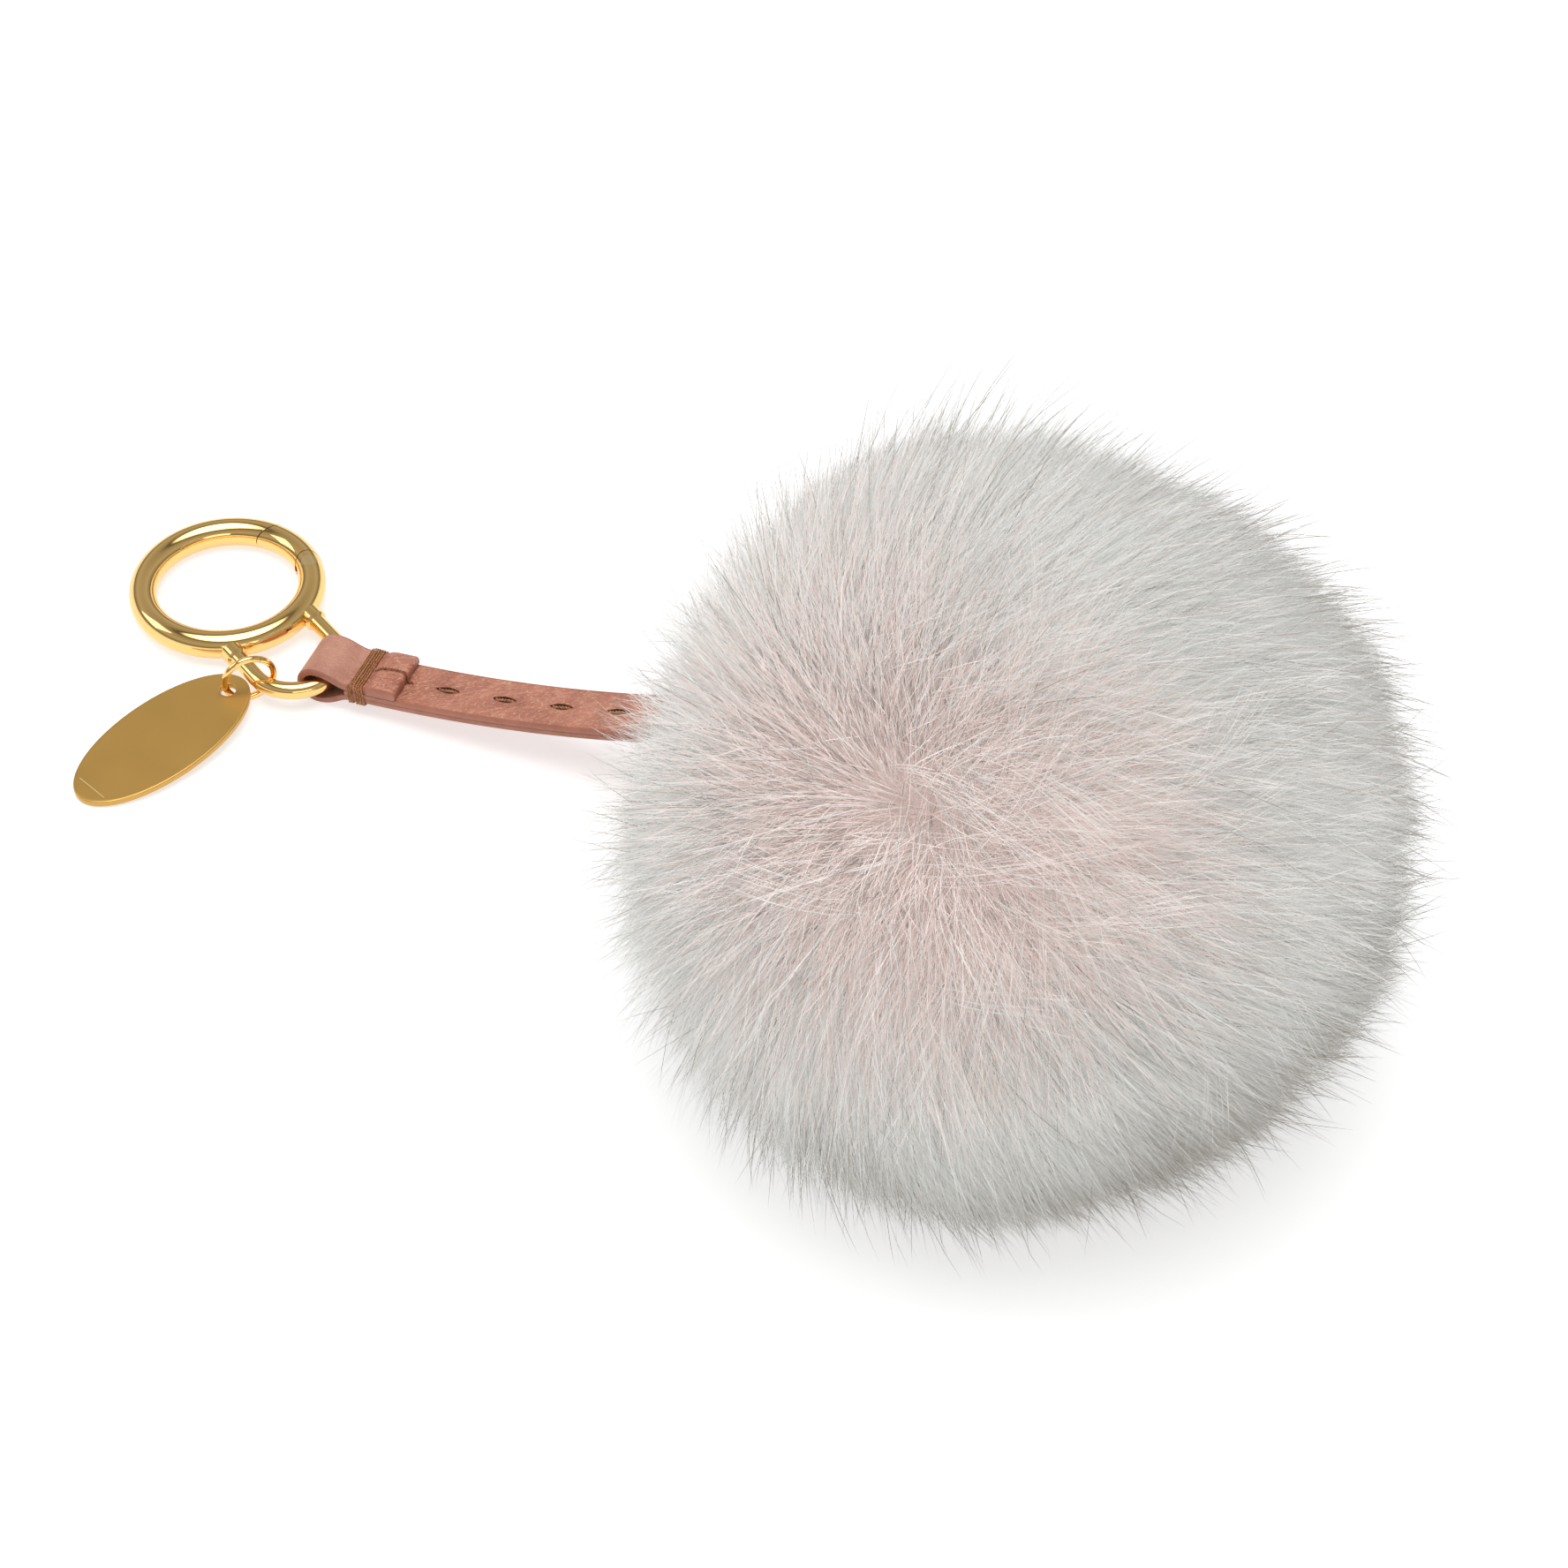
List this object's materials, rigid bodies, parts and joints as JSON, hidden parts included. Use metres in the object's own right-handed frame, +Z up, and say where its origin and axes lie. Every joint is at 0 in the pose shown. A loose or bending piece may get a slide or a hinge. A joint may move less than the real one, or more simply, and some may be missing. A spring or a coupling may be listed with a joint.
{
  "type": "fur pom-pom keychain",
  "caption": "Fur pom-pom bag charm: spring-gate ring with a soldered D-loop, jump ring and plain oval tag, and a leather strap bound with thread that holds a fur ball.",
  "frame": {"origin": "centre of the gate ring, which is 3 mm above the table that the piece lies on", "axes": "+Z up from the table; +X runs from the ring towards the fur ball along the piece's longest side; the ball lies towards +X and -Y"},
  "size_m": [0.2183, 0.1795, 0.108],
  "materials": {
    "polished_gold": "polished gold plate on brass, with soft wear",
    "satin_gold": "satin gold plate with a polished bevelled edge",
    "spring_steel": "bright drawn wire",
    "pink_leather": "pebbled dusty-pink calf with a faint pearl shimmer and darker painted edges",
    "brown_thread": "twisted waxed thread",
    "white_cord": "braided elastic cord",
    "pelt_leather": "suede side of the pelt, dyed pink",
    "stuffing": "polyester fibre",
    "fox_fur": "long silky fur, pink underfur and cool white guard hair"
  },
  "bodies": {
    "ring": {"ring_body": "polished_gold", "gate_pin": "polished_gold", "gate_spring": "spring_steel", "d_loop": "polished_gold"},
    "gate": {"ring_gate": "polished_gold"},
    "jump": {"jump_ring": "polished_gold"},
    "tag_body": {"tag": "satin_gold"},
    "strap": {"strap_under": "pink_leather", "strap_top": "pink_leather", "neck_binding": "brown_thread", "flap_stitch": "brown_thread", "slit_stitches": "brown_thread"},
    "pom": {"pom_cord": "white_cord", "cord_knot": "white_cord", "gather_thread": "brown_thread", "pelt_skin": "pelt_leather", "core_stuffing": "stuffing", "pom_fur": "fox_fur"}
  },
  "joints": [
    {"name": "gate_hinge", "type": "hinge", "parent": "ring", "child": "gate", "pos_m": [0.0144, 0.00421, 0.00016], "axis": [-0.0193, 0.027, 0.9995], "range_deg": [0, 35], "stiffness_Nm_per_rad": 0.0005, "springref_deg": -28.65},
    {"name": "jump_ring_swing", "type": "hinge", "parent": "ring", "child": "jump", "pos_m": [0.00742, -0.02417, 0.0008], "axis": [-0.5804, 0.8137, -0.0332], "range_deg": [-10, 35]},
    {"name": "tag_swing", "type": "hinge", "parent": "jump", "child": "tag_body", "pos_m": [0.00611, -0.0251, 0.00202], "axis": [-0.3584, 0.9336, 0], "range_deg": [-10, 45]},
    {"name": "strap_swing", "type": "hinge", "parent": "ring", "child": "strap", "pos_m": [0.02022, -0.02178, 0.001], "axis": [-0.3746, -0.9272, 0], "range_deg": [-15, 40]},
    {"name": "pom_swing", "type": "hinge", "parent": "strap", "child": "pom", "pos_m": [0.11754, -0.0611, 0.02656], "axis": [-0.3746, -0.9272, 0], "range_deg": [-12, 12]}
  ]
}
